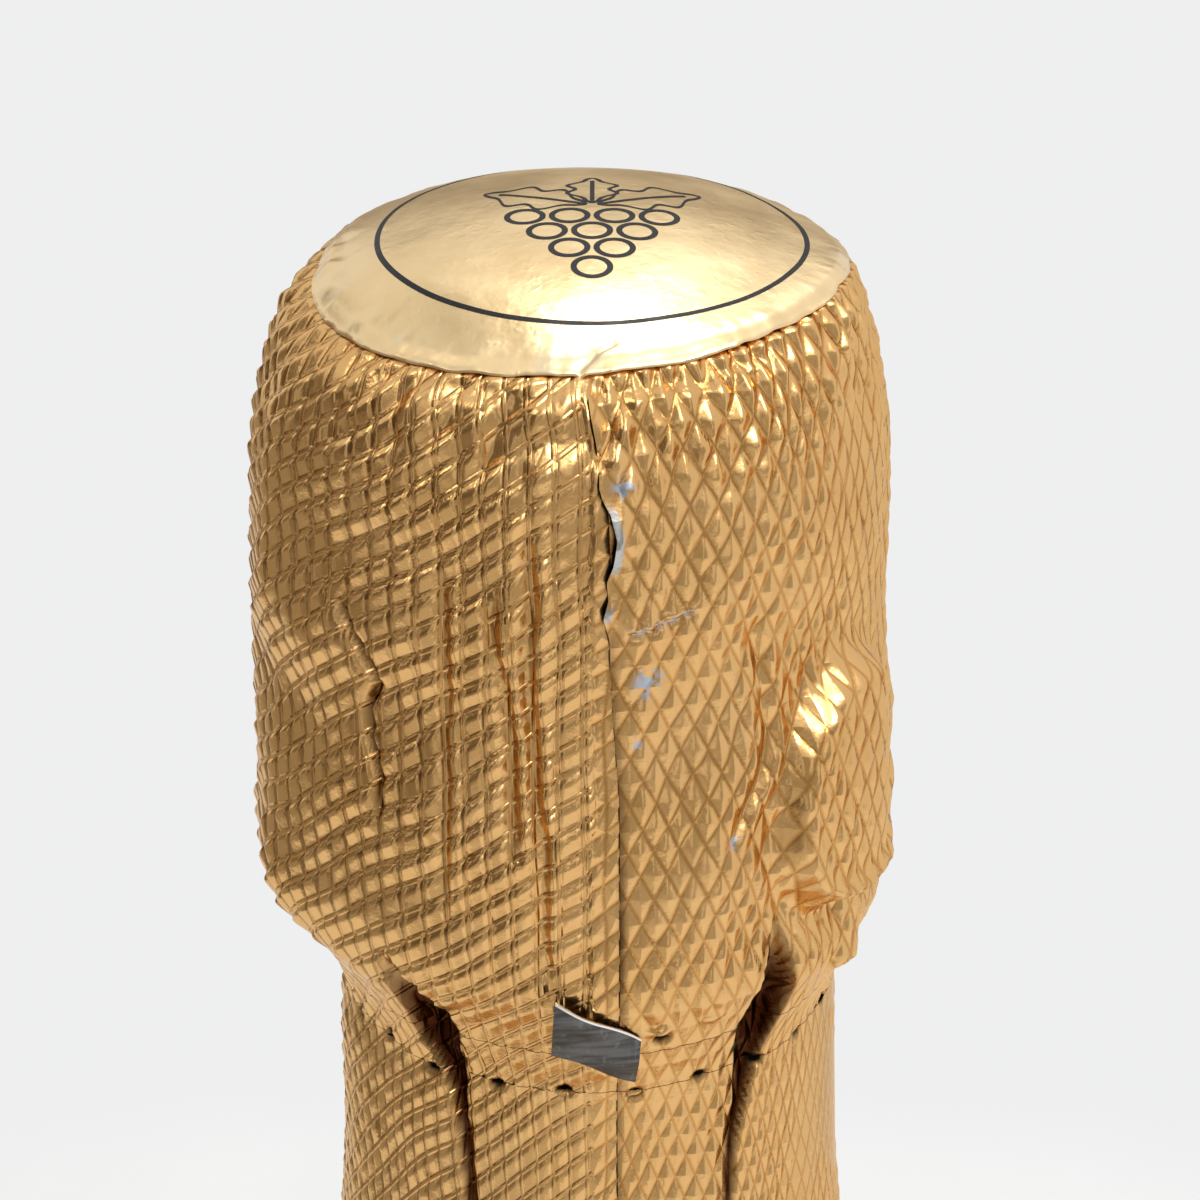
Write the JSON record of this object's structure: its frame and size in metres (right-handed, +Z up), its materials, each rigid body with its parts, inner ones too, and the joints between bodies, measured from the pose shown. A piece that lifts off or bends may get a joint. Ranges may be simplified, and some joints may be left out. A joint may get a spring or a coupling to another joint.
{
  "type": "champagne bottle",
  "caption": "Full champagne bottle in green glass with a mushroom stopper, wire cage with folding twist loop, embossed gold foil capsule with tear strip, and plain labels.",
  "frame": {"origin": "middle of the foot ring, on the surface the bottle stands on", "axes": "+Z up along the bottle's axis, -Y towards the picture's camera, where the tear tab and the foil's seam are, +X to the camera's right"},
  "size_m": [0.0884, 0.0892, 0.3206],
  "materials": {
    "glass_green": "polished",
    "wine": "gloss",
    "cork_grain": "matte",
    "cork_natural": "matte",
    "cap_metal": "gloss",
    "steel_wire": "satin",
    "foil_embossed": "satin",
    "foil_plain": "gloss",
    "foil_grey": "satin",
    "label_paper": "matte"
  },
  "bodies": {
    "bottle": {"glass_bottle": "glass_green", "wine": "wine", "capsule_skirt": "foil_embossed", "neck_label": "label_paper", "front_label": "label_paper", "back_label": "label_paper"},
    "cork": {"cork_body": "cork_grain", "cork_disc_upper": "cork_natural", "cork_disc_lower": "cork_natural"},
    "cage": {"cap_plate": "cap_metal", "cage_ring": "steel_wire", "belt_wire": "steel_wire", "cage_leg_1": "steel_wire", "cage_leg_2": "steel_wire", "cage_leg_3": "steel_wire", "cage_leg_4": "steel_wire"},
    "knot": {"loop_knot": "steel_wire"},
    "loop": {"twist_loop": "steel_wire"},
    "hood": {"capsule_hood": "foil_embossed", "capsule_top": "foil_plain"},
    "strip": {"tear_strip": "foil_embossed"},
    "tab": {"tear_tab": "foil_grey"}
  },
  "joints": [
    {"name": "cork_pull", "type": "slide", "parent": "bottle", "child": "cork", "axis": [0, 0, 1], "range_m": [0, 0.03]},
    {"name": "cage_lift", "type": "slide", "parent": "cork", "child": "cage", "axis": [0, 0, 1], "range_m": [0, 0.045], "deforming": ["belt_wire", "cage_leg_1", "cage_leg_2", "cage_leg_3", "cage_leg_4"]},
    {"name": "loop_untwist", "type": "hinge", "parent": "cage", "child": "knot", "pos_m": [0.0145, -0.00837, 0.2779], "axis": [0.866, -0.5, 0], "range_deg": [0, 1080]},
    {"name": "loop_fold", "type": "hinge", "parent": "knot", "child": "loop", "pos_m": [0.01542, -0.0089, 0.2779], "axis": [0.5, 0.866, 0], "range_deg": [0, 95]},
    {"name": "hood_lift", "type": "slide", "parent": "cage", "child": "hood", "axis": [0, 0, 1], "range_m": [0, 0.05], "deforming": ["capsule_hood"]},
    {"name": "tear_pull", "type": "hinge", "parent": "bottle", "child": "strip", "pos_m": [0, 0, 0.27415], "axis": [0, 0, 1], "range_deg": [0, 360]},
    {"name": "tab_lift", "type": "hinge", "parent": "strip", "child": "tab", "pos_m": [0.00294, -0.01719, 0.27415], "axis": [0, 0, 1], "range_deg": [0, 120]}
  ]
}
